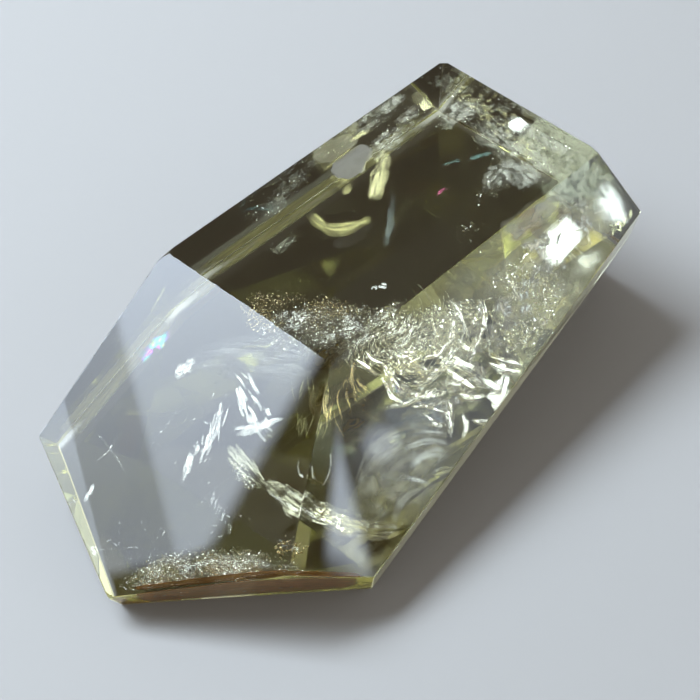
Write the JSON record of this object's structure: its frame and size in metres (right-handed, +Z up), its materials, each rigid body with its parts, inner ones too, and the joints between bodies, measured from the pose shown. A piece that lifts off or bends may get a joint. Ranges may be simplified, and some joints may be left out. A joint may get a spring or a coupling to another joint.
{
  "type": "citrine freeform",
  "caption": "Clear pale citrine quartz, cut and polished on all sides into a long low faceted freeform that lies on its flat base.",
  "frame": {"origin": "middle of the bounding box's underside, on the surface that the stone rests on", "axes": "+Z up; X along the stone's length with the low pointed end at -X; Y across its width, the steep side slope facing -Y"},
  "size_m": [0.0946, 0.0482, 0.0274],
  "materials": {
    "citrine": "polished clear quartz, pale yellow-green, with healed fractures and veils inside"
  },
  "bodies": {
    "root": {"citrine_crystal": "citrine"}
  },
  "joints": []
}
